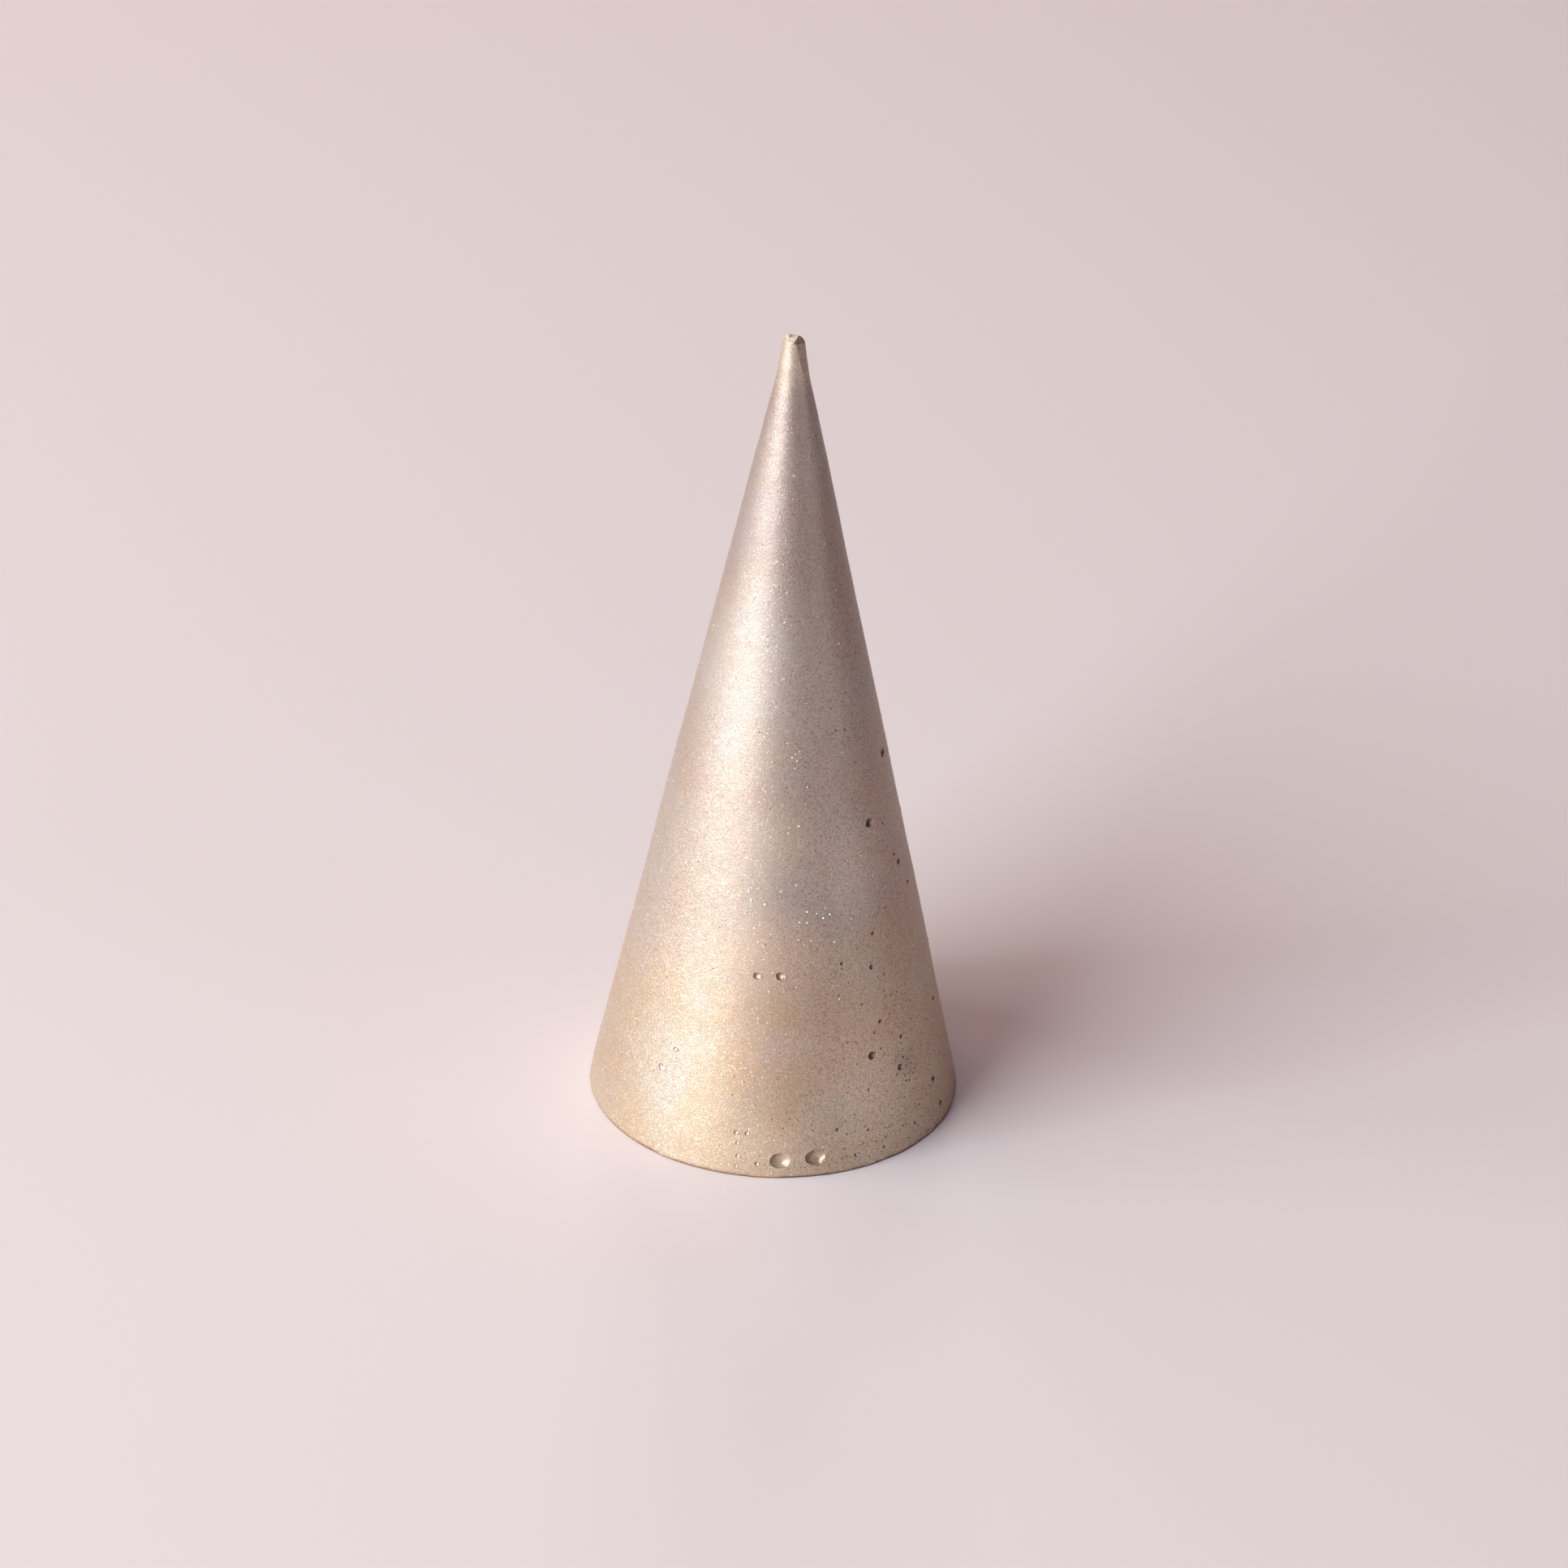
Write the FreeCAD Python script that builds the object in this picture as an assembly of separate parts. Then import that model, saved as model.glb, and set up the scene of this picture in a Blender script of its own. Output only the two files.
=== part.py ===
import FreeCAD, Part
import math
import os
import random

# Ring display stand: one plain cone of cast concrete under a thin champagne gold coat.
# Sizes are in millimetres, +Z is up and the origin is the centre of the flat base.
# A place on the side is an angle and a height. The angle is in degrees round the axis, from 0
# at the front, which is -Y, and it grows towards +X.

# The cone
base_diameter = 41.0
top_height = 90.0
base_edge_bevel = 0.15       # the worn arris round the bottom

# The blunt tip, which is steeper than the side
tip_length = 4.0
shoulder_diameter = 3.42     # where the side ends and the tip begins
tip_diameter = 2.2

# The broken right half of the tip's end
break_facing = 75.0          # the angle that it faces
break_start = 0.3            # from the axis to where it starts
break_slope = 24.0           # degrees below level

# The flat that leaves a ridge down the front of the tip
flat_facing = 52.0
flat_depth = 0.26            # how far it cuts into the round tip at the end

# The crumb left standing on the rim of the tip
crumb_angle = -140.0
crumb_radius = 0.28
crumb_rise = 0.25            # above the tip's end

# Air holes are the halves of bubbles that lay against the mould. Pinholes are straight pits.
air_hole_depth_share = 0.36  # depth over width
pinhole_depth_share = 0.6

# The two wide holes at the foot: angle, height, width round the cone, width up the slope
wide_holes = [
    (14.0, 2.2, 2.2, 1.85),
    (2.8, 2.0, 2.25, 1.75),
]

# Air holes on the front, the pair first: angle, height, width
front_air_holes = [
    (-7.5, 22.5, 0.85),
    (1.6, 22.6, 0.9),
    (36.5, 12.2, 1.0),
    (50.1, 37.4, 1.0),
    (74.7, 43.2, 0.9),
    (-41.2, 9.7, 0.85),
]

# Pinholes on the right of the front: angle, height, width
right_pinholes = [
    (67.3, 2.2, 0.6),
    (65.4, 5.5, 0.65),
    (48.3, 9.5, 0.7),
    (50.8, 12.8, 0.5),
    (78.0, 13.1, 0.5),
    (41.6, 15.6, 0.5),
    (40.4, 21.9, 0.55),
    (69.0, 31.0, 0.6),
]

# Pinholes on the left of the front, with the small chain above the foot
left_pinholes = [
    (-4.4, 1.6, 0.48),
    (-10.5, 2.3, 0.44),
    (-11.5, 4.9, 0.5),
    (-8.0, 4.9, 0.48),
    (-36.6, 12.3, 0.55),
]

# The scatter round the back, closer together towards the foot
back_seed = 11
back_from_angle = 95.0
back_to_angle = 290.0
back_lowest = 1.8
back_highest = 56.0
back_gap = 1.6               # least gap between two holes
back_air_hole_count = 4
back_air_hole_widths = (0.7, 1.6)
back_pinhole_count = 4
back_pinhole_widths = (0.4, 0.6)

# The nick in the bottom edge
nick_angle = 3.3
nick_width = 0.7

base_radius = base_diameter / 2
shoulder_radius = shoulder_diameter / 2
tip_radius = tip_diameter / 2
shoulder_height = top_height - tip_length
side_lean = math.atan2(base_radius - shoulder_radius, shoulder_height)

up = FreeCAD.Vector(0, 0, 1)


def outward(angle):
    """Level direction away from the axis at an angle."""
    turn = math.radians(angle)
    return FreeCAD.Vector(math.sin(turn), -math.cos(turn), 0)


def side_radius(height):
    """Radius of the cone's side at a height."""
    return base_radius - height * math.tan(side_lean)


def on_side(angle, height):
    """A point on the cone's side, and the direction straight out of the side there."""
    point = outward(angle) * side_radius(height) + up * height
    normal = outward(angle) * math.cos(side_lean) + up * math.sin(side_lean)
    return point, normal


def plain_cone():
    """The cone and its blunt tip, turned from their half section."""
    corners = [
        FreeCAD.Vector(0, 0, 0),
        FreeCAD.Vector(base_radius - base_edge_bevel, 0, 0),
        FreeCAD.Vector(side_radius(base_edge_bevel), 0, base_edge_bevel),
        FreeCAD.Vector(shoulder_radius, 0, shoulder_height),
        FreeCAD.Vector(tip_radius, 0, top_height),
        FreeCAD.Vector(0, 0, top_height),
        FreeCAD.Vector(0, 0, 0),
    ]
    section = Part.Face(Part.makePolygon(corners))
    return section.revolve(FreeCAD.Vector(0, 0, 0), up, 360)


def beyond_plane(point, normal):
    """A block that holds all of the tip beyond a plane through the point."""
    reach = 2 * (tip_length + shoulder_diameter)
    block = Part.makeBox(reach, reach, reach, FreeCAD.Vector(-reach / 2, -reach / 2, 0))
    block.Placement = FreeCAD.Placement(point, FreeCAD.Rotation(up, normal))
    return block


def broken_half():
    """What the break takes off the tip's end: the part above a plane that falls to the right."""
    fall = math.radians(break_slope)
    start = outward(break_facing) * break_start + up * top_height
    return beyond_plane(start, outward(break_facing) * math.sin(fall) + up * math.cos(fall))


def front_flat():
    """What the flat takes off the right front of the tip. It runs out at the shoulder or above it."""
    rim_radius = tip_radius - flat_depth
    lean = max(side_lean, math.atan2(shoulder_radius - rim_radius, tip_length))
    rim = outward(flat_facing) * rim_radius + up * top_height
    return beyond_plane(rim, outward(flat_facing) * math.cos(lean) + up * math.sin(lean))


def crumb():
    """The crumb on the rim of the tip, half sunk in it."""
    seat = tip_radius - crumb_radius
    height = top_height + crumb_rise - crumb_radius
    return Part.makeSphere(crumb_radius, outward(crumb_angle) * seat + up * height)


def air_hole(angle, height, width):
    """A ball that leaves a round hole of that width in the side."""
    mouth, normal = on_side(angle, height)
    depth = air_hole_depth_share * width
    ball = (width * width / 4 + depth * depth) / (2 * depth)
    return Part.makeSphere(ball, mouth + normal * (ball - depth))


def wide_air_hole(angle, height, width, rise):
    """A bubble stretched round the cone, which leaves a long hole: a pin with a ball at each end."""
    mouth, normal = on_side(angle, height)
    across = outward(angle + 90)
    reach = (width - rise) / 2
    ends = [mouth + across * side * reach for side in (-1, 1)]
    balls = [Part.makeSphere(rise / 2, end, across) for end in ends]
    return Part.makeCylinder(rise / 2, 2 * reach, ends[0], across).fuse(balls)


def pinhole(angle, height, width):
    """A pin that leaves a small pit with a flat floor in the side."""
    mouth, normal = on_side(angle, height)
    depth = pinhole_depth_share * width
    return Part.makeCylinder(width / 2, depth + width, mouth - normal * depth, normal)


def back_places():
    """Angle, height and width of the holes round the back, drawn at random from a fixed seed."""
    draw = random.Random(back_seed)
    ranges = [back_air_hole_widths] * back_air_hole_count + [back_pinhole_widths] * back_pinhole_count
    chosen = []
    while len(chosen) < len(ranges):
        angle = draw.uniform(back_from_angle, back_to_angle)
        height = back_lowest + (back_highest - back_lowest) * draw.random() ** 2
        width = draw.uniform(*ranges[len(chosen)])
        here = on_side(angle, height)[0]
        gaps = [
            here.distanceToPoint(on_side(other[0], other[1])[0]) - (width + other[2]) / 2
            for other in chosen
        ]
        if min(gaps, default=back_gap) >= back_gap:
            chosen.append((angle, height, width))
    return chosen


def edge_nick():
    """The ball that leaves the nick in the bottom edge."""
    return Part.makeSphere(nick_width / 2, outward(nick_angle) * base_radius)


def cast_cone():
    """The finished casting."""
    cone = plain_cone().fuse(crumb())
    for piece in [broken_half(), front_flat(), edge_nick()]:
        cone = cone.cut(piece)
    back = back_places()
    air_holes = front_air_holes + back[:back_air_hole_count]
    pinholes = right_pinholes + left_pinholes + back[back_air_hole_count:]
    holes = [wide_air_hole(*place) for place in wide_holes]
    holes += [air_hole(*place) for place in air_holes]
    holes += [pinhole(*place) for place in pinholes]
    return cone.cut(holes).Solids[0]


os.makedirs("parts", exist_ok=True)
cast_cone().exportStep("parts/cast_cone.step")
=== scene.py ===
import bpy
import bmesh
import math
import random
from mathutils import Matrix, Quaternion, Vector, noise


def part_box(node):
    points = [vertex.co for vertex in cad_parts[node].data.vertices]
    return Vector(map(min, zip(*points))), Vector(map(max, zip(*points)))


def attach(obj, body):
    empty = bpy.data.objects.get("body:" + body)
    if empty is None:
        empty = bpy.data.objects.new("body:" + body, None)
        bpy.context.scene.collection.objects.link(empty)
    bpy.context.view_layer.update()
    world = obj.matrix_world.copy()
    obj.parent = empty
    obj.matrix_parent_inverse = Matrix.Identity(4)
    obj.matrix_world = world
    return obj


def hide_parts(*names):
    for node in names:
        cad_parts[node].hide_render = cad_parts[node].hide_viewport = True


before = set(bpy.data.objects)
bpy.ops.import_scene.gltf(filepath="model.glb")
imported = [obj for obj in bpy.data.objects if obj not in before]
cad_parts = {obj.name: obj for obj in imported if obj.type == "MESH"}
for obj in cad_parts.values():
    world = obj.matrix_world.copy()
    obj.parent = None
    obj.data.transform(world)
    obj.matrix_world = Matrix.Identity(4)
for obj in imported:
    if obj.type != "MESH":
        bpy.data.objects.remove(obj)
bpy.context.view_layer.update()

# The casting is made in millimetres round its own axis and shrunk to metres at the end.
# A place on its side is an angle and a height: 0 degrees faces the front, -Y, and grows towards +X.
mm = 0.001
boxLow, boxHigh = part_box("cast_cone")
baseRadius = boxHigh.x / mm
upwards = Vector((0, 0, 1))

casting = {
    "crumbRise": 0.25,  # the crumb on the tip stands this far above its end
    "tipLength": 4.0,
    "shoulderRadius": 1.71,
    "tipRadius": 1.1,
    "arris": 0.15,  # worn bottom edge
    "pole": 0.02,  # bands stop this far from the axis until their rings are in
    # from height, to height, faces round, spacing of the rings
    "tiers": [(0.15, 40.0, 304, 0.4), (40.3, 64.0, 184, 0.38), (64.3, 85.7, 104, 0.34)],
    "tipSegments": 96,
    "tipSpacing": 0.09,
    "undersideSegments": 168,
    "undersideSpacing": 0.7,
    "sharpAngle": 45.0,  # edges that turn more than this stay crisp
}
topHeight = boxHigh.z / mm - casting["crumbRise"]
shoulderHeight = topHeight - casting["tipLength"]
sideLean = math.atan2(baseRadius - casting["shoulderRadius"], shoulderHeight - casting["arris"])


def outward(angle):
    turn = math.radians(angle)
    return Vector((math.sin(turn), -math.cos(turn), 0))


def clamp(value):
    return max(0.0, min(1.0, value))


def sideRadius(height):
    return baseRadius - (height - casting["arris"]) * math.tan(sideLean)


def sideNormal(angle):
    return outward(angle) * math.cos(sideLean) + upwards * math.sin(sideLean)


# How far the cast surface stands off the plain cone: slow waves left by the mould, lumps and fine grit
surface = {
    "waves": (16.0, 0.07),  # size across and height, both in mm
    "lumps": (3.2, 0.022),
    "grit": (0.9, 0.012),
    "footSink": 0.05,  # the foot is worn in, so that it stays inside the CAD box
    "footHeight": 3.0,
    "edgeWaves": (2.6, 0.09),  # ragged bottom edge
    "edgeHeight": 0.9,
    "edgeSlice": 7.0,  # the edge follows one level slice of the noise
    "underside": (2.2, 0.05),
    "undersideLift": 0.6,  # keeps most of the underside clear of the table
    "undersideRim": 0.125,  # share of the radius over which it comes down to the rim
}


def relief(point):
    rise = 0.0
    for name in ("waves", "lumps", "grit"):
        size, height = surface[name]
        rise += noise.noise(point / size) * height
    foot = max(0.0, 1 - point.z / surface["footHeight"])
    rise = rise * (1 - foot) + (min(rise, 0.0) - surface["footSink"]) * foot
    edge = max(0.0, 1 - point.z / surface["edgeHeight"])
    size, depth = surface["edgeWaves"]
    level = Vector((point.x, point.y, surface["edgeSlice"]))
    return rise - edge * depth * (0.5 + noise.noise(level / size))


def onSide(angle, height):
    normal = sideNormal(angle)
    point = outward(angle) * sideRadius(height) + upwards * height
    return point + normal * relief(point), normal


def isOn(vert, ring):
    radius, height = ring
    return abs(vert.co.z - height) < 1e-3 and abs(vert.co.xy.length - radius) < 1e-3


def plainCasting():
    # The plain cone. Its "mortarAndPaintedLight" value is 0 where the coat is whole. Above 0 it gets a dark mortar
    # colour, in holes and breaks, which is also painted shade there, and below 0 a bright colour, on grains and
    # lips, which is painted highlight.
    arris, pole = casting["arris"], casting["pole"]
    # runs of the half section: the underside, the worn arris with the side, and the tip
    underside = [(pole, 0), (baseRadius - 2 * arris, 0)]
    bands = [(underside, casting["undersideSegments"], casting["undersideSpacing"])]
    for low, high, segments, spacing in casting["tiers"]:
        bands.append(([(sideRadius(low), low), (sideRadius(high), high)], segments, spacing))
    bands[1][0][:0] = [(baseRadius - arris, 0), (baseRadius - arris / 4, arris / 3)]
    tipEnd = [(casting["shoulderRadius"], shoulderHeight), (casting["tipRadius"], topHeight), (pole, topHeight)]
    bands.append((tipEnd, casting["tipSegments"], casting["tipSpacing"]))
    bm = bmesh.new()
    for corners, segments, spacing in bands:
        verts = [bm.verts.new((radius, 0, height)) for radius, height in corners]
        edges = [bm.edges.new(pair) for pair in zip(verts, verts[1:])]
        bmesh.ops.spin(bm, geom=verts + edges, cent=(0, 0, 0), axis=upwards, dvec=(0, 0, 0),
                       angle=2 * math.pi, steps=segments, use_merge=True)
    # close the narrow gap between two bands, where the number of faces round changes
    for below, above in zip(bands, bands[1:]):
        rings = [edge for edge in bm.edges for ring in (below[0][-1], above[0][0])
                 if all(isOn(vert, ring) for vert in edge.verts)]
        bmesh.ops.bridge_loops(bm, edges=rings)
    for corners, segments, spacing in bands:
        for low, high in zip(corners, corners[1:]):
            crossing = [edge for edge in bm.edges for first, last in (edge.verts, reversed(edge.verts))
                        if isOn(first, low) and isOn(last, high)]
            cuts = round(crossing[0].calc_length() / spacing) - 1
            if cuts > 0:
                bmesh.ops.subdivide_edges(bm, edges=crossing, cuts=cuts, use_grid_fill=True)
    for height in (0, topHeight):
        ring = [vert for vert in bm.verts if isOn(vert, (pole, height))]
        bmesh.ops.pointmerge(bm, verts=ring, merge_co=upwards * height)
    bmesh.ops.recalc_face_normals(bm, faces=bm.faces)
    bm.verts.layers.float.new("mortarAndPaintedLight")
    return bm


def roughen(bm):
    bm.normal_update()
    size, height = surface["underside"]
    for vert in bm.verts:
        under = vert.co.z < 1e-4
        inward = 1 - vert.co.xy.length / (baseRadius - casting["arris"])
        vert.co += vert.normal * relief(vert.co)
        if under:
            # the cone stands on its rim, and the screeded underside is hollow by a hair
            wave = max(0.0, noise.noise(vert.co / size) + surface["undersideLift"])
            vert.co.z = wave * height * clamp(inward / surface["undersideRim"])


# The blunt tip: its right third has broken away and its front right is flat, which leaves a ridge
tip = {
    "below": 1.0,  # the flat and the break reach this far below the shoulder
    "breakFacing": 75.0,
    "breakStart": 0.25,  # from the axis
    "breakSlope": 24.0,
    "flatFacing": 52.0,
    "flatDepth": 0.26,
    "flatGrit": (0.5, 0.02),  # size across and height of the roughness
    "breakGrit": (0.28, 0.06),
    "endGrit": (0.4, 0.05),
    "endSink": 0.01,
    "flatBare": 0.1,  # how much mortar colour they get: the "mortarAndPaintedLight" value; on the flat and the break, which face away from the lamps, the dark is partly painted shade
    "breakBare": 0.4,
    # the end of the tip, and the crumb, get a painted highlight
    "endPaintedSheen": -0.8,
    "crumbAngle": -140.0,
    "crumbRadius": 0.28,
    "crumbRoughness": 0.3,
    "crumbWear": 0.1,  # share of the radius worn off all round
    "crumbDetail": 4,
}


def pressTo(bm, point, normal, grit, mortarAndSheenLevel):
    # moves what lies beyond a plane back onto it and leaves it rough, as broken mortar is
    size, height = grit
    mortarAndPaintedLight = bm.verts.layers.float["mortarAndPaintedLight"]
    for vert in bm.verts:
        beyond = (vert.co - point).dot(normal)
        if beyond > 0 and vert.co.z > shoulderHeight - tip["below"]:
            vert.co += normal * (noise.noise(vert.co / size) * height - beyond)
            vert[mortarAndPaintedLight] = mortarAndSheenLevel


def breakTip(bm):
    facing = outward(tip["flatFacing"])
    rimRadius = casting["tipRadius"] - tip["flatDepth"]
    lean = max(sideLean, math.atan2(casting["shoulderRadius"] - rimRadius, casting["tipLength"]))
    normal = facing * math.cos(lean) + upwards * math.sin(lean)
    pressTo(bm, facing * rimRadius + upwards * topHeight, normal, tip["flatGrit"], tip["flatBare"])
    pressTo(bm, upwards * (topHeight - tip["endSink"]), upwards, tip["endGrit"], tip["endPaintedSheen"])
    facing = outward(tip["breakFacing"])
    slope = math.radians(tip["breakSlope"])
    normal = facing * math.sin(slope) + upwards * math.cos(slope)
    start = facing * tip["breakStart"] + upwards * topHeight
    pressTo(bm, start, normal, tip["breakGrit"], tip["breakBare"])


def makeCrumb():
    bm = bmesh.new()
    radius = tip["crumbRadius"]
    seat = outward(tip["crumbAngle"]) * (casting["tipRadius"] - radius)
    seat += upwards * (topHeight + casting["crumbRise"] - radius)
    mortarAndPaintedLight = bm.verts.layers.float.new("mortarAndPaintedLight")
    made = bmesh.ops.create_icosphere(bm, subdivisions=tip["crumbDetail"], radius=radius,
                                      matrix=Matrix.Translation(seat))
    for vert in made["verts"]:
        lump = noise.noise(vert.co / radius) * tip["crumbRoughness"] - tip["crumbWear"]
        vert.co += (vert.co - seat) * min(lump, 0.0)
        # the crumb gets the painted highlight of the tip's end
        vert[mortarAndPaintedLight] = tip["endPaintedSheen"]
    return bm


# Air holes: bubbles that lay against the mould. Each is angle, height, width, in degrees and mm.
airHoles = {
    "wide": [(14.0, 2.2, 2.26, 1.9), (2.8, 2.0, 2.31, 1.8)],  # with their width up the slope
    "front": [(-7.5, 22.5, 0.85), (1.6, 22.6, 0.9), (36.5, 12.2, 1.0), (50.1, 37.4, 1.0), (74.7, 43.2, 0.9),
              (-41.2, 9.7, 0.85)],
    "right": [(67.3, 2.2, 0.6), (65.4, 5.5, 0.65), (48.3, 9.5, 0.7), (50.8, 12.8, 0.5), (78.0, 13.1, 0.5),
              (41.6, 15.6, 0.5), (40.4, 21.9, 0.55), (69.0, 31.0, 0.6)],
    "left": [(-4.4, 1.6, 0.48), (-10.5, 2.3, 0.44), (-11.5, 4.9, 0.5), (-8.0, 4.9, 0.48), (-36.6, 12.3, 0.55)],
    "fine": [(21.5, 5.0, 0.46), (33.9, 8.5, 0.4), (32.3, 4.1, 0.35), (51.5, 2.5, 0.36), (27.1, 1.7, 0.38),
             (37.6, 1.6, 0.4), (27.0, 23.3, 0.45), (43.2, 25.5, 0.45), (74.7, 27.9, 0.45), (66.2, 32.2, 0.37),
             (-10.9, 3.7, 0.38), (-7.4, 3.5, 0.26), (-10.8, 1.2, 0.4), (-16.2, 3.1, 0.23), (38.6, 14.6, 0.3),
             (40.6, 12.6, 0.3), (34.3, 18.2, 0.3), (46.2, 20.5, 0.28), (45.3, 18.7, 0.28), (24.8, 19.9, 0.28),
             (41.1, 48.4, 0.32), (34.7, 48.6, 0.25), (-14.3, 15.0, 0.22), (-13.1, 11.1, 0.27), (50.6, 10.4, 0.3),
             (52.6, 9.9, 0.26), (54.3, 9.2, 0.25), (46.3, 8.9, 0.25), (50.0, 8.4, 0.24), (55.4, 10.7, 0.22),
             (46.8, 10.5, 0.24), (52.4, 8.3, 0.22), (48.7, 10.9, 0.22)],
    "wideDepthShare": 0.3,  # depth over width
    "depthShare": (0.22, 0.55),  # on the left, where the mould was well filled, and on the drier right
    "mortarAndSheenLevel": (0.5, 1.0),  # how much dark mortar colour shows in them, on the lit left and on the shaded right, where the extra dark is painted shade
    "fromLeft": (-5.0, 7.0),  # mm to the right of the axis over which they change
    "bareBelow": 0.5,  # share of the depth at which that much shows, so that they darken with depth, which is painted shade
    "unevenness": 0.12,
    "lumpShare": 0.4,  # size of the unevenness over the width
    "wideDetail": 4,  # subdivisions of the ball that cuts a hole
    "detail": (2, 3),  # under and over this width
    "detailFrom": 0.5,
    "lip": (0.45, 0.8, 0.32),  # low lip on the right rim: across, up the slope and rise, over the width
    "lipHighest": 0.15,
    "lipFrom": 0.28,  # narrowest hole that has one
    # the lips get a painted highlight
    "lipPaintedSheen": -1.0,
    "lightFrom": (-50.0, 0.5),  # angle and rise of the lamps' light; the walls on that side of a hole face away from it and are darkened, which is painted shade
}

# The holes round the back lie where the CAD model has them, drawn from the same seed
backHoles = {
    "seed": 11,
    "angles": (95.0, 290.0),
    "heights": (1.8, 56.0),
    "gap": 1.6,
    "widths": [(0.7, 1.6)] * 4 + [(0.4, 0.6)] * 4,
}

# Pores of about a grain of sand, thickest low down on the right where the mix was driest
pores = {
    "seed": 5,
    "tries": 3200,
    "widths": (0.13, 0.28),
    "highest": 80.0,
    "dryAngle": 52.0,
    "drySpread": 30.0,
    "dryHeight": 15.0,
    "elsewhere": 0.07,  # share of the tries kept away from the dry patch
    "gap": 0.12,
    "detail": 1,
}

# Grains of sand that stand proud under the coat: the band above the pair of air holes, then loose ones
grains = {
    "band": [(-13.3, 31.7, 0.35), (-8.8, 32.1, 0.26), (1.3, 31.9, 0.26), (-11.9, 30.7, 0.35), (-16.9, 31.2, 0.27),
             (-5.7, 30.4, 0.4), (8.1, 32.6, 0.26), (12.9, 29.6, 0.35), (9.6, 28.5, 0.26), (12.9, 28.4, 0.3),
             (-9.5, 27.1, 0.26), (-2.4, 27.2, 0.22), (-47.5, 32.6, 0.42), (21.1, 29.7, 0.32), (23.2, 29.0, 0.35),
             (20.0, 28.7, 0.32), (17.2, 29.3, 0.22), (14.4, 26.4, 0.27), (11.5, 26.0, 0.22)],
    "high": [(6.0, 46.4, 0.3), (8.8, 46.0, 0.3), (7.4, 45.2, 0.24), (9.5, 39.0, 0.3), (-30.0, 63.0, 0.3)],
    "seed": 23,
    "tries": 260,
    "widths": (0.14, 0.26),
    "rise": 0.42,  # height over width
    "along": 0.9,  # length up the slope over width
    "turn": 30.0,
    # the tops of the grains get a polished coat and a painted highlight
    "mortarAndSheenLevel": -1.0,
    "detail": 1,
}

# Scratches through the coat: angle, height, length, width, and the slope of their run in degrees
scratches = {
    "lines": [(-23.0, 5.6, 4.4, 0.16, -10.0), (-36.0, 5.9, 2.9, 0.12, -1.0), (-46.0, 10.4, 5.2, 0.12, 62.0),
              (-43.0, 11.6, 4.4, 0.1, 63.0), (-49.2, 8.5, 3.4, 0.1, 60.0), (-53.0, 11.2, 2.6, 0.09, 62.0),
              (140.0, 12.0, 3.2, 0.14, 20.0), (205.0, 30.0, 2.4, 0.12, -35.0)],
    "depth": 0.05,
    "mortarAndSheenLevel": -0.42,
    "detail": 2,
}


def addBubble(bm, place, size, turn, detail, mortarAndSheenLevel):
    # an uneven ball at a place on the side: its size is across, up the slope and into the cone
    mortarAndPaintedLight = bm.verts.layers.float.get("mortarAndPaintedLight") or bm.verts.layers.float.new("mortarAndPaintedLight")
    mouth, normal = onSide(*place)
    across = Matrix.Rotation(math.radians(turn), 3, normal) @ outward(place[0] + 90)
    width, rise, depth = size
    shape = Matrix((across * width / 2, normal.cross(across) * rise / 2, normal * depth)).transposed().to_4x4()
    towardLight = (outward(airHoles["lightFrom"][0]) + upwards * airHoles["lightFrom"][1]).normalized()
    made = bmesh.ops.create_icosphere(bm, subdivisions=detail, radius=1, matrix=Matrix.Translation(mouth) @ shape)
    for vert in made["verts"]:
        lump = noise.noise(vert.co / (min(width, rise) * airHoles["lumpShare"])) * airHoles["unevenness"]
        vert.co += (vert.co - mouth) * lump
        sunk = (mouth - vert.co).dot(normal) / depth / airHoles["bareBelow"]
        if mortarAndSheenLevel < 0:
            vert[mortarAndPaintedLight] = mortarAndSheenLevel * min(1.0, abs(sunk))
        else:
            # the walls on the lamps' side of a hole face away from the light, and their dark mortar colour is
            # painted shade
            facingAway = mortarAndSheenLevel + (vert.co - mouth).normalized().dot(towardLight)
            vert[mortarAndPaintedLight] = mortarAndSheenLevel * clamp(sunk) * clamp(facingAway)


def backPlaces():
    draw = random.Random(backHoles["seed"])
    lowest, highest = backHoles["heights"]
    chosen = []
    while len(chosen) < len(backHoles["widths"]):
        angle = draw.uniform(*backHoles["angles"])
        height = lowest + (highest - lowest) * draw.random() ** 2
        width = draw.uniform(*backHoles["widths"][len(chosen)])
        here = outward(angle) * sideRadius(height) + upwards * height
        gaps = [(here - outward(other[0]) * sideRadius(other[1]) - upwards * other[1]).length
                - (width + other[2]) / 2 for other in chosen]
        if min(gaps, default=backHoles["gap"]) >= backHoles["gap"]:
            chosen.append((angle, height, width))
    return chosen


def scatter(settings, taken, dry):
    # random places that keep clear of each other and of what is there already
    draw = random.Random(settings["seed"])
    spots = [(onSide(angle, height)[0], width) for angle, height, width in taken]
    chosen = []
    for attempt in range(settings["tries"]):
        angle = draw.uniform(-180, 180)
        height = pores["highest"] * (1 - math.sqrt(draw.random()))
        width = draw.uniform(*settings["widths"])
        keep = draw.random()
        if dry:
            off = abs((angle - pores["dryAngle"] + 180) % 360 - 180) / pores["drySpread"]
            dryness = math.exp(-off ** 2) * math.exp(-(height / pores["dryHeight"]) ** 2)
            if keep > pores["elsewhere"] + dryness:
                continue
        here = onSide(angle, height)[0]
        if all((here - spot).length > (width + other) / 2 + pores["gap"] for spot, other in spots):
            spots.append((here, width))
            chosen.append((angle, height, width))
    return chosen


def byPlace(name, angle, height):
    # a value that changes from the left of the cone to the right
    first, last = airHoles["fromLeft"]
    along = clamp((onSide(angle, height)[0].x - first) / (last - first))
    left, right = airHoles[name]
    return left + (right - left) * along


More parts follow.
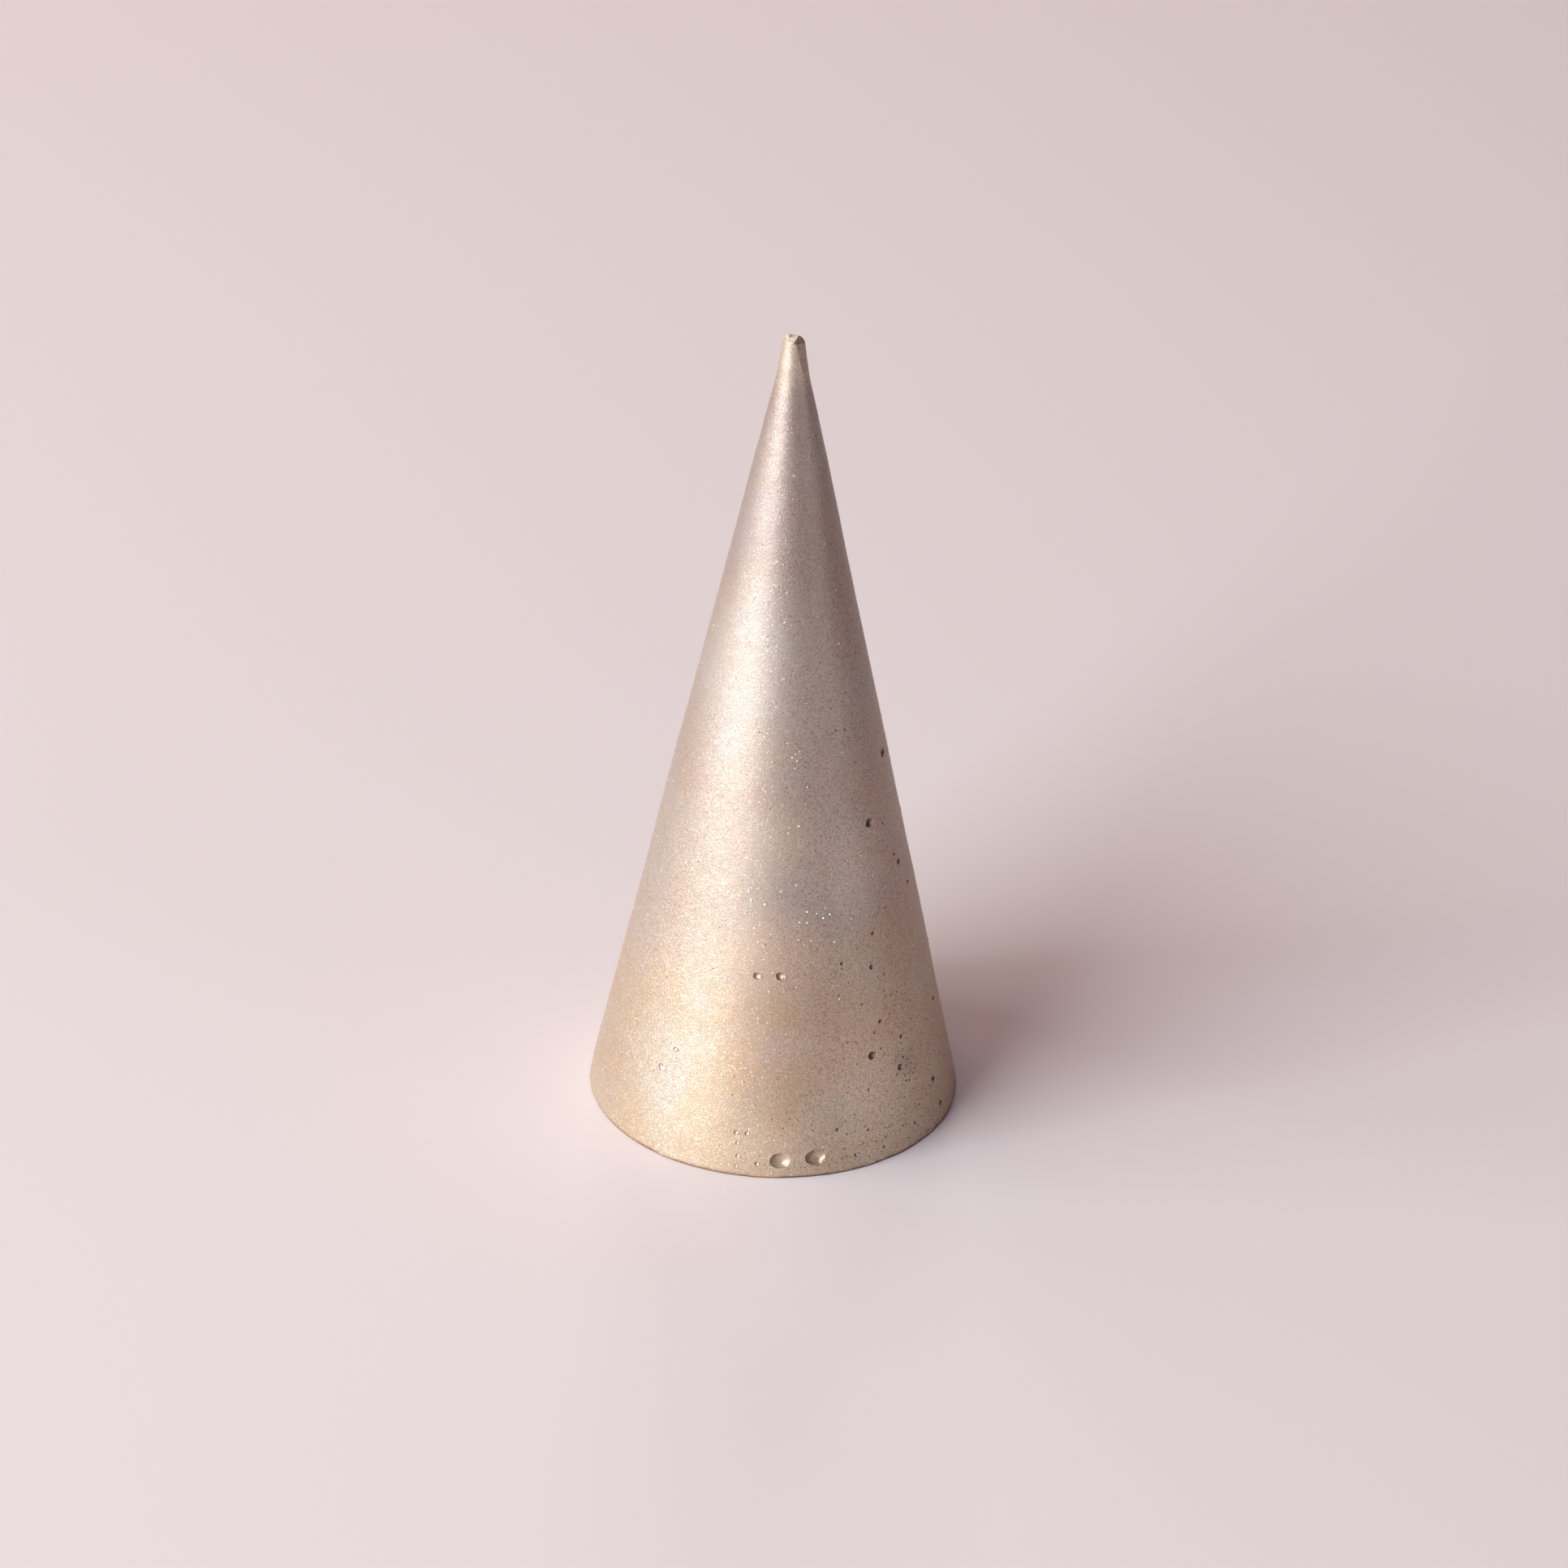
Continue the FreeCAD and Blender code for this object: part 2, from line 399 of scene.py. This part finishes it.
def addRound(bm, angle, height, width, detail):
    depth = byPlace("depthShare", angle, height) * width
    addBubble(bm, (angle, height), (width, width, depth), 0, detail, byPlace("mortarAndSheenLevel", angle, height))


def cutters():
    # the balls that cut the air holes, pores and scratches, with the places that are then taken
    bm = bmesh.new()
    for angle, height, width, rise in airHoles["wide"]:
        size = (width, rise, airHoles["wideDepthShare"] * rise)
        addBubble(bm, (angle, height), size, 0, airHoles["wideDetail"], airHoles["mortarAndSheenLevel"][0])
    named = airHoles["front"] + airHoles["right"] + airHoles["left"] + airHoles["fine"] + backPlaces()
    coarse, fine = airHoles["detail"]
    for angle, height, width in named:
        addRound(bm, angle, height, width, fine if width > airHoles["detailFrom"] else coarse)
    taken = named + [place[:3] for place in airHoles["wide"]] + grains["band"] + grains["high"]
    small = scatter(pores, taken, True)
    for angle, height, width in small:
        addRound(bm, angle, height, width, pores["detail"])
    for angle, height, length, width, slope in scratches["lines"]:
        size = (length, width, scratches["depth"])
        addBubble(bm, (angle, height), size, slope, scratches["detail"], scratches["mortarAndSheenLevel"])
    print("casting:", len(named) + 2, "air holes and", len(small), "pores")
    return bm, named, taken + small


def lumps(named, taken):
    # what stands proud: the lips of the larger holes, and the grains
    bm = bmesh.new()
    across, along, rise = airHoles["lip"]
    for angle, height, width in named:
        if width > airHoles["lipFrom"]:
            right = angle + math.degrees(width / 2 / sideRadius(height))
            size = (width * across, width * along, min(width * rise, airHoles["lipHighest"]))
            addBubble(bm, (right, height), size, 0, grains["detail"], airHoles["lipPaintedSheen"])
    proud = grains["band"] + grains["high"] + scatter(grains, taken, False)
    for angle, height, width in proud:
        size = (width, width * grains["along"], width * grains["rise"])
        addBubble(bm, (angle, height), size, grains["turn"], grains["detail"], grains["mortarAndSheenLevel"])
    print("casting:", len(proud), "grains")
    return bm


def objectFrom(bm, name):
    mesh = bpy.data.meshes.new(name)
    bm.to_mesh(mesh)
    bm.free()
    obj = bpy.data.objects.new(name, mesh)
    bpy.context.scene.collection.objects.link(obj)
    return obj


def combine(body, tool, operation):
    change = body.modifiers.new("combine", "BOOLEAN")
    change.solver = "MANIFOLD"
    change.operation = operation
    change.object = tool
    bpy.context.view_layer.update()
    shown = body.evaluated_get(bpy.context.evaluated_depsgraph_get())
    combined = bpy.data.meshes.new_from_object(shown)
    body.modifiers.remove(change)
    body.data = combined
    bpy.data.objects.remove(tool)


def finishMesh(body):
    bm = bmesh.new()
    bm.from_mesh(body.data)
    bmesh.ops.triangulate(bm, faces=[face for face in bm.faces if len(face.verts) > 4])
    bmesh.ops.recalc_face_normals(bm, faces=bm.faces)
    for face in bm.faces:
        face.smooth = True
    for edge in bm.edges:
        edge.smooth = edge.calc_face_angle(0) < math.radians(casting["sharpAngle"])
    bmesh.ops.scale(bm, vec=(mm, mm, mm), verts=bm.verts)
    openEdges = sum(1 for edge in bm.edges if not edge.is_manifold)
    triangles = sum(len(face.verts) - 2 for face in bm.faces)
    bm.to_mesh(body.data)
    bm.free()
    print("casting:", triangles, "triangles,", openEdges, "open edges")


turned = plainCasting()
roughen(turned)
breakTip(turned)
cone = objectFrom(turned, "concrete_cone")
print("casting: turned and roughened")
bubbles, named, taken = cutters()
combine(cone, objectFrom(makeCrumb(), "crumb"), "UNION")
combine(cone, objectFrom(lumps(named, taken), "grains"), "UNION")
combine(cone, objectFrom(bubbles, "bubbles"), "DIFFERENCE")
finishMesh(cone)

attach(cone, "root")
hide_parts("cast_cone")


def linear(hexColour):
    values = [int(hexColour[i:i + 2], 16) / 255 for i in (1, 3, 5)]
    return tuple(v / 12.92 if v <= 0.04045 else ((v + 0.055) / 1.055) ** 2.4 for v in values) + (1.0,)


def addNode(tree, kind, settings, inputs):
    node = tree.nodes.new(kind)
    for name, value in settings.items():
        setattr(node, name, value)
    for name, value in inputs.items():
        if isinstance(value, bpy.types.NodeSocket):
            tree.links.new(value, node.inputs[name])
        else:
            node.inputs[name].default_value = value
    return node


# Champagne gold spray over cast concrete: metal flake in a satin lacquer, on a gritty base. The flakes lie
# at slightly different angles, so the surface sparkles finely all over and has no sharp reflection.
# Sizes and heights are in mm, colours are sRGB.
goldSpray = {
    "metallic": (0.7, 0.0),  # of the coat and of the bare mortar
    "roughness": (0.46, 0.95),
    "colour": "#BEAA9A",
    "foot": "#C4AD94",  # lighter and yellower towards the foot, where the lighter part is painted light, and darker towards the top, which is painted shade: they even out lamps that light the upper cone more
    "top": "#B19F95",
    "tip": "#CAB6A1",  # brighter at the tip, which is painted highlight
    "footReach": (30.0, 12.0),  # the height where each colour begins and where it is full
    "topReach": (30.0, 66.0),
    "tipReach": (83.0, 88.0),
    "cloudSize": 9.0,  # clouds of a greyer coat
    "cloudDetail": 3.0,
    "cloudRoughness": 0.6,
    "cloudRange": (0.42, 0.68),
    "cloudSaturation": 0.72,
    # patches: a yellower one, a grey one that is a painted cool reflection, pale ones that are painted highlight,
    # and a dark brown one: angle, height, reach, share, colour
    "patchesAndPaintedLight": [
        (1.0, 14.0, 8.5, 0.6, "#CBA789"),
        (24.0, 33.0, 10.0, 0.3, "#A6A7AA"),
        # these six pale patches are painted highlight
        (-35.0, 54.0, 15.0, 0.9, "#C1B2A4"),
        (37.0, 33.5, 7.0, 0.6, "#D1BCAA"),
        (34.0, 9.0, 9.5, 0.6, "#D4BEAA"),
        (3.0, 37.0, 6.5, 0.4, "#D6BEA8"),
        (2.0, 25.0, 7.5, 0.5, "#D6BEA8"),
        (2.0, 3.0, 7.0, 0.7, "#DAC0A4"),
        (51.0, 9.8, 2.6, 0.22, "#6B3F22"),
    ],
    "patchCore": 0.125,  # share of the reach within which a patch is full
    "flakeSize": 0.1,  # real flakes are half that, too fine to show
    "flakeTilt": 0.14,
    "glintTilt": 0.5,  # more tilt in a few flakes, and the higher the rarity, the fewer
    "glintRarity": 14.0,
    "flakeShade": 0.94,  # of the coat's colour, before the bright and dark flakes
    "brightFlakes": (0.36, 0.7),  # on the shaded right and on the lit left: more of them on the lit side, which is painted glints
    "brightRarity": 5.0,
    "brightUp": (18.0, 55.0, 0.35),  # they thin out between these heights to this share
    "stipple": (0.5, 0.12),  # dark flakes, on the shaded right and on the lit left: more of them on the shaded side, which is painted shade
    "stippleRarity": 3.0,
    "shadedAndLitSides": (6.0, -7.0),  # where the shaded right and the lit left begin, across from the axis
    "gritSize": 0.2,
    "gritDetail": 2.0,
    "gritRoughness": 0.55,
    "gritHeight": 0.022,
    "pinprickSpacing": 0.62,  # pores too fine to model, thickest where the pores are
    "pinprickWidth": 0.2,
    "pinprickFloor": 0.4,  # share of the width that is full depth
    "pinprickDepth": 0.04,
    # the pinpricks' dark colour is mortar and painted shade in pits too fine to model
    "pinprickColour": "#4A2414",
    "pinprickShare": (0.06, 0.75),
    "dryHeight": 3.75,  # middle of the dry patch
    "dryReach": (17.0, 4.0),
    # dark mortar colour, which in the holes and on the tip's break is painted shade
    "mortarAndPaintedShade": "#471C0C",
    "polishAndPaintedSheen": "#F4E6D2",  # polished coat and painted highlight on top of the grains, and painted highlight on the lips, the crumb and the tip's end
    "proudRange": (-0.2, -0.8),  # "mortarAndPaintedLight" values at which the polish and painted highlight begin and are full
    "edgeColour": "#8C5C38",  # brown along the bottom edge, and darker on the right, where the extra dark is painted shade
    "edgeShadedRight": "#3C2A20",
    "edgeHeight": 0.34,
    "edgeRagged": 1.6,
    "edgeDetail": 2.0,
    "edgeShare": 0.85,
}


def sprayedGold():
    material = bpy.data.materials.new("champagne_gold_spray_on_concrete")
    material.use_nodes = True
    tree = material.node_tree
    tree.nodes.clear()
    place = addNode(tree, "ShaderNodeTexCoord", {}, {}).outputs["Object"]
    normal = addNode(tree, "ShaderNodeNewGeometry", {}, {}).outputs["Normal"]
    split = addNode(tree, "ShaderNodeSeparateXYZ", {}, {"Vector": place})

    # the coat's colour by height, with painted light low down, painted shade higher up and painted highlight at
    # the tip, then patches, some of which are painted light, and clouds in it
    coat = linear(goldSpray["colour"])
    for name in ("foot", "top", "tip"):
        first, last = goldSpray[name + "Reach"]
        reach = addNode(tree, "ShaderNodeMapRange", {"interpolation_type": "SMOOTHSTEP"}, {
            "Value": split.outputs["Z"], 1: first * mm, 2: last * mm, 3: 0.0, 4: 1.0})
        coat = addNode(tree, "ShaderNodeMix", {"data_type": "RGBA"}, {
            0: reach.outputs["Result"], 6: coat, 7: linear(goldSpray[name])}).outputs[2]
    for angle, height, reach, share, colour in goldSpray["patchesAndPaintedLight"]:
        middle = onSide(angle, height)[0] * mm
        core = reach * goldSpray["patchCore"]
        away = addNode(tree, "ShaderNodeVectorMath", {"operation": "DISTANCE"}, {0: place, 1: middle})
        near = addNode(tree, "ShaderNodeMapRange", {"interpolation_type": "SMOOTHSTEP"}, {
            "Value": away.outputs["Value"], 1: reach * mm, 2: core * mm, 3: 0.0, 4: share})
        coat = addNode(tree, "ShaderNodeMix", {"data_type": "RGBA"}, {
            0: near.outputs["Result"], 6: coat, 7: linear(colour)}).outputs[2]
    clouds = addNode(tree, "ShaderNodeTexNoise", {}, {
        "Vector": place, "Scale": 1 / (goldSpray["cloudSize"] * mm),
        "Detail": goldSpray["cloudDetail"], "Roughness": goldSpray["cloudRoughness"]})
    cloudy = addNode(tree, "ShaderNodeMapRange", {}, {
        "Value": clouds.outputs["Fac"], 1: goldSpray["cloudRange"][0], 2: goldSpray["cloudRange"][1]})
    coat = addNode(tree, "ShaderNodeHueSaturation", {}, {
        "Fac": cloudy.outputs["Result"], "Saturation": goldSpray["cloudSaturation"], "Color": coat}).outputs[0]

    # each flake has its own shade: some are bright, most on the lit left and low down, which is painted glints,
    # and some are dark, most on the shaded right, which is painted shade
    flakes = addNode(tree, "ShaderNodeTexVoronoi", {}, {
        "Vector": place, "Scale": 1 / (goldSpray["flakeSize"] * mm)})
    flake = addNode(tree, "ShaderNodeSeparateColor", {}, {"Color": flakes.outputs["Color"]})
    ends = {1: goldSpray["shadedAndLitSides"][0] * mm, 2: goldSpray["shadedAndLitSides"][1] * mm}
    lit = addNode(tree, "ShaderNodeMapRange", {}, {
        "Value": split.outputs["X"], 3: goldSpray["brightFlakes"][0], 4: goldSpray["brightFlakes"][1], **ends})
    low, high, left = goldSpray["brightUp"]
    thinning = addNode(tree, "ShaderNodeMapRange", {}, {
        "Value": split.outputs["Z"], 1: low * mm, 2: high * mm, 3: 1.0, 4: left})
    lit = addNode(tree, "ShaderNodeMath", {"operation": "MULTIPLY"}, {
        0: lit.outputs["Result"], 1: thinning.outputs["Result"]})
    dull = addNode(tree, "ShaderNodeMapRange", {}, {
        "Value": split.outputs["X"], 3: goldSpray["stipple"][0], 4: goldSpray["stipple"][1], **ends})
    bright = addNode(tree, "ShaderNodeMath", {"operation": "POWER"}, {
        0: flake.outputs["Red"], 1: goldSpray["brightRarity"]})
    dark = addNode(tree, "ShaderNodeMath", {"operation": "POWER"}, {
        0: flake.outputs["Blue"], 1: goldSpray["stippleRarity"]})
    raised = addNode(tree, "ShaderNodeMath", {"operation": "MULTIPLY_ADD"}, {
        0: bright.outputs[0], 1: lit.outputs[0], 2: goldSpray["flakeShade"]})
    lowered = addNode(tree, "ShaderNodeMath", {"operation": "MULTIPLY"}, {
        0: dark.outputs[0], 1: dull.outputs["Result"]})
    shade = addNode(tree, "ShaderNodeMath", {"operation": "SUBTRACT"}, {
        0: raised.outputs[0], 1: lowered.outputs[0]})
    coat = addNode(tree, "ShaderNodeVectorMath", {"operation": "SCALE"}, {0: coat, "Scale": shade.outputs[0]})

    # each flake has its own tilt too, and a few are turned far enough to glint
    glint = addNode(tree, "ShaderNodeMath", {"operation": "POWER"}, {
        0: flake.outputs["Green"], 1: goldSpray["glintRarity"]})
    tilt = addNode(tree, "ShaderNodeMath", {"operation": "MULTIPLY_ADD"}, {
        0: glint.outputs[0], 1: goldSpray["glintTilt"], 2: goldSpray["flakeTilt"]})
    lean = addNode(tree, "ShaderNodeVectorMath", {"operation": "SUBTRACT"}, {
        0: flakes.outputs["Color"], 1: (0.5, 0.5, 0.5)})
    lean = addNode(tree, "ShaderNodeVectorMath", {"operation": "SCALE"}, {
        0: lean.outputs[0], "Scale": tilt.outputs[0]})
    turned = addNode(tree, "ShaderNodeVectorMath", {"operation": "ADD"}, {0: normal, 1: lean.outputs[0]})
    turned = addNode(tree, "ShaderNodeVectorMath", {"operation": "NORMALIZE"}, {0: turned.outputs[0]})

    # pinpricks: some cells of a fine pattern hold a dark pit, and more of them do where the mix was dry; their
    # dark colour is mortar and painted shade
    spacing = goldSpray["pinprickSpacing"]
    pits = addNode(tree, "ShaderNodeTexVoronoi", {}, {"Vector": place, "Scale": 1 / (spacing * mm)})
    pit = addNode(tree, "ShaderNodeSeparateColor", {}, {"Color": pits.outputs["Color"]})
    driest = outward(pores["dryAngle"]) * baseRadius + upwards * goldSpray["dryHeight"]
    away = addNode(tree, "ShaderNodeVectorMath", {"operation": "DISTANCE"}, {0: place, 1: driest * mm})
    share = addNode(tree, "ShaderNodeMapRange", {}, {
        "Value": away.outputs["Value"], 1: goldSpray["dryReach"][0] * mm, 2: goldSpray["dryReach"][1] * mm,
        3: goldSpray["pinprickShare"][0], 4: goldSpray["pinprickShare"][1]})
    chosen = addNode(tree, "ShaderNodeMath", {"operation": "LESS_THAN"}, {
        0: pit.outputs["Red"], 1: share.outputs["Result"]})
    rim = goldSpray["pinprickWidth"] / spacing / 2
    pinprick = addNode(tree, "ShaderNodeMapRange", {}, {
        "Value": pits.outputs["Distance"], 1: rim, 2: rim * goldSpray["pinprickFloor"], 3: 0.0, 4: 1.0})
    pinprick = addNode(tree, "ShaderNodeMath", {"operation": "MULTIPLY"}, {
        0: pinprick.outputs["Result"], 1: chosen.outputs[0]})
    coat = addNode(tree, "ShaderNodeMix", {"data_type": "RGBA"}, {
        0: pinprick.outputs[0], 6: coat.outputs[0], 7: linear(goldSpray["pinprickColour"])})

    # dark mortar colour in the air holes and the tip's break, deeper in and on the walls that face away from the
    # lamps, which is painted shade, and a bright colour on the grains, lips, crumb and tip end, which is painted
    # highlight
    mortarAndPaintedLight = addNode(tree, "ShaderNodeAttribute", {"attribute_name": "mortarAndPaintedLight"}, {}).outputs["Fac"]
    proud = addNode(tree, "ShaderNodeMapRange", {}, {
        "Value": mortarAndPaintedLight, 1: goldSpray["proudRange"][0], 2: goldSpray["proudRange"][1], 3: 0.0, 4: 1.0})
    coat = addNode(tree, "ShaderNodeMix", {"data_type": "RGBA"}, {
        0: mortarAndPaintedLight, 6: coat.outputs[2], 7: linear(goldSpray["mortarAndPaintedShade"])})
    coat = addNode(tree, "ShaderNodeMix", {"data_type": "RGBA"}, {
        0: proud.outputs["Result"], 6: coat.outputs[2], 7: linear(goldSpray["polishAndPaintedSheen"])})

    # the brown bottom edge, up to a ragged height, darker on the shaded right, which is painted shade
    worn = addNode(tree, "ShaderNodeTexNoise", {}, {
        "Vector": place, "Scale": 1 / (goldSpray["edgeRagged"] * mm), "Detail": goldSpray["edgeDetail"]})
    wornTo = addNode(tree, "ShaderNodeMath", {"operation": "MULTIPLY"}, {
        0: worn.outputs["Fac"], 1: 2 * goldSpray["edgeHeight"] * mm})
    edge = addNode(tree, "ShaderNodeMapRange", {}, {
        "Value": split.outputs["Z"], 1: wornTo.outputs[0], 2: goldSpray["edgeHeight"] * mm / 3,
        3: 0.0, 4: goldSpray["edgeShare"]})
    side = addNode(tree, "ShaderNodeMapRange", {}, {"Value": split.outputs["X"], 3: 1.0, 4: 0.0, **ends})
    edgeCoat = addNode(tree, "ShaderNodeMix", {"data_type": "RGBA"}, {
        0: side.outputs["Result"], 6: linear(goldSpray["edgeColour"]), 7: linear(goldSpray["edgeShadedRight"])})
    coat = addNode(tree, "ShaderNodeMix", {"data_type": "RGBA"}, {
        0: edge.outputs["Result"], 6: coat.outputs[2], 7: edgeCoat.outputs[2]})

    # grit of fine sand under the coat, and the pinpricks' depth
    grit = addNode(tree, "ShaderNodeTexNoise", {}, {
        "Vector": place, "Scale": 1 / (goldSpray["gritSize"] * mm),
        "Detail": goldSpray["gritDetail"], "Roughness": goldSpray["gritRoughness"]})
    bumped = addNode(tree, "ShaderNodeBump", {}, {
        "Height": grit.outputs["Fac"], "Distance": goldSpray["gritHeight"] * mm, "Normal": turned.outputs[0]})
    bumped = addNode(tree, "ShaderNodeBump", {"invert": True}, {
        "Height": pinprick.outputs[0], "Distance": goldSpray["pinprickDepth"] * mm,
        "Normal": bumped.outputs["Normal"]})

    # bare mortar is neither metal nor satin
    mortarAndSheenLevel = addNode(tree, "ShaderNodeMath", {"operation": "MAXIMUM"}, {0: mortarAndPaintedLight, 1: pinprick.outputs[0]})
    metallic, roughness = [
        addNode(tree, "ShaderNodeMapRange", {}, {"Value": mortarAndSheenLevel.outputs[0], 3: ofCoat, 4: ofMortar})
        for ofCoat, ofMortar in (goldSpray["metallic"], goldSpray["roughness"])]
    shader = addNode(tree, "ShaderNodeBsdfPrincipled", {}, {
        "Base Color": coat.outputs[2],
        "Metallic": metallic.outputs["Result"],
        "Roughness": roughness.outputs["Result"],
        "Normal": bumped.outputs["Normal"],
    })
    addNode(tree, "ShaderNodeOutputMaterial", {}, {"Surface": shader.outputs["BSDF"]})
    return material


cone.data.materials.clear()
cone.data.materials.append(sprayedGold())
print("finish: champagne gold spray")

# The studio: pale pinkish floor, a large soft window on the left in two parts, four pale cards and a dim room
studio = {
    "floorColour": "#EDE4E3",
    "floorRoughness": 0.6,
    "floorSpecular": 0.2,
    "floorSize": 12.0,  # metres, as all sizes here are
    "lamps": {
        # degrees round from the camera, degrees up, metres away, width, height, brightness, colour
        "window_front": (-50, 22, 1.9, 1.5, 1.06, 10.3, (0.93, 1.0, 1.05)),
        "window_side": (-85, 22, 1.9, 1.06, 1.06, 4.4, (1.0, 1.02, 0.97)),
        "card_right": (61, 8, 1.9, 0.55, 0.91, 2.2, (0.87, 0.96, 1.0)),
        "card_left": (-135, 30, 1.9, 1.22, 1.06, 1.15, (1.32, 0.86, 0.64)),
        "card_behind": (180, 33, 1.9, 0.55, 0.45, 4.5, (1.0, 0.97, 0.92)),
        "card_above": (0, 88, 1.9, 0.8, 0.8, 0.75, (0.4, 1.0, 1.5)),
    },
    "lampTarget": 0.03,
    "room": (0.155, 0.066, 0.062),
}


def makeStudio():
    bm = bmesh.new()
    bmesh.ops.create_grid(bm, x_segments=1, y_segments=1, size=studio["floorSize"] / 2)
    floor = objectFrom(bm, "floor")
    material = bpy.data.materials.new("pale_painted_board")
    material.use_nodes = True
    shader = material.node_tree.nodes["Principled BSDF"]
    shader.inputs["Base Color"].default_value = linear(studio["floorColour"])
    shader.inputs["Roughness"].default_value = studio["floorRoughness"]
    shader.inputs["Specular IOR Level"].default_value = studio["floorSpecular"]
    floor.data.materials.append(material)
    target = upwards * studio["lampTarget"]
    for name, (turn, rise, distance, width, height, brightness, colour) in studio["lamps"].items():
        lamp = bpy.data.lights.new(name, "AREA")
        lamp.shape = "RECTANGLE"
        lamp.size = width
        lamp.size_y = height
        lamp.color = colour
        lamp.energy = brightness * math.pi * width * height
        obj = bpy.data.objects.new(name, lamp)
        away = outward(turn) * math.cos(math.radians(rise)) + upwards * math.sin(math.radians(rise))
        obj.location = target + away * distance
        obj.rotation_euler = away.to_track_quat("Z", "Y").to_euler()
        bpy.context.scene.collection.objects.link(obj)
    world = bpy.data.worlds.new("dim_room")
    world.use_nodes = True
    world.node_tree.nodes["Background"].inputs["Color"].default_value = studio["room"] + (1.0,)
    bpy.context.scene.world = world


# The camera stands where the photograph was taken from, in mm
camera = {
    "place": (0.0, -489.88, 310.54),
    "target": (0.27, 0.0, 37.45),
    "roll": 1.6325,  # degrees; the photograph leans a little
    "lens": 119.25,
    "sensor": 36.0,
    "nearest": 10.0,
}


def makeCamera():
    data = bpy.data.cameras.new("camera")
    data.lens = camera["lens"]
    data.sensor_width = camera["sensor"]
    data.clip_start = camera["nearest"] * mm
    obj = bpy.data.objects.new("camera", data)
    back = Vector(camera["place"]) - Vector(camera["target"])
    obj.location = Vector(camera["place"]) * mm
    roll = Quaternion((0, 0, 1), math.radians(camera["roll"]))
    obj.rotation_euler = (back.to_track_quat("Z", "Y") @ roll).to_euler()
    bpy.context.scene.collection.objects.link(obj)
    bpy.context.scene.camera = obj


makeStudio()
makeCamera()
bpy.context.scene.view_settings.view_transform = "Standard"
print("studio: floor, lamps and camera")
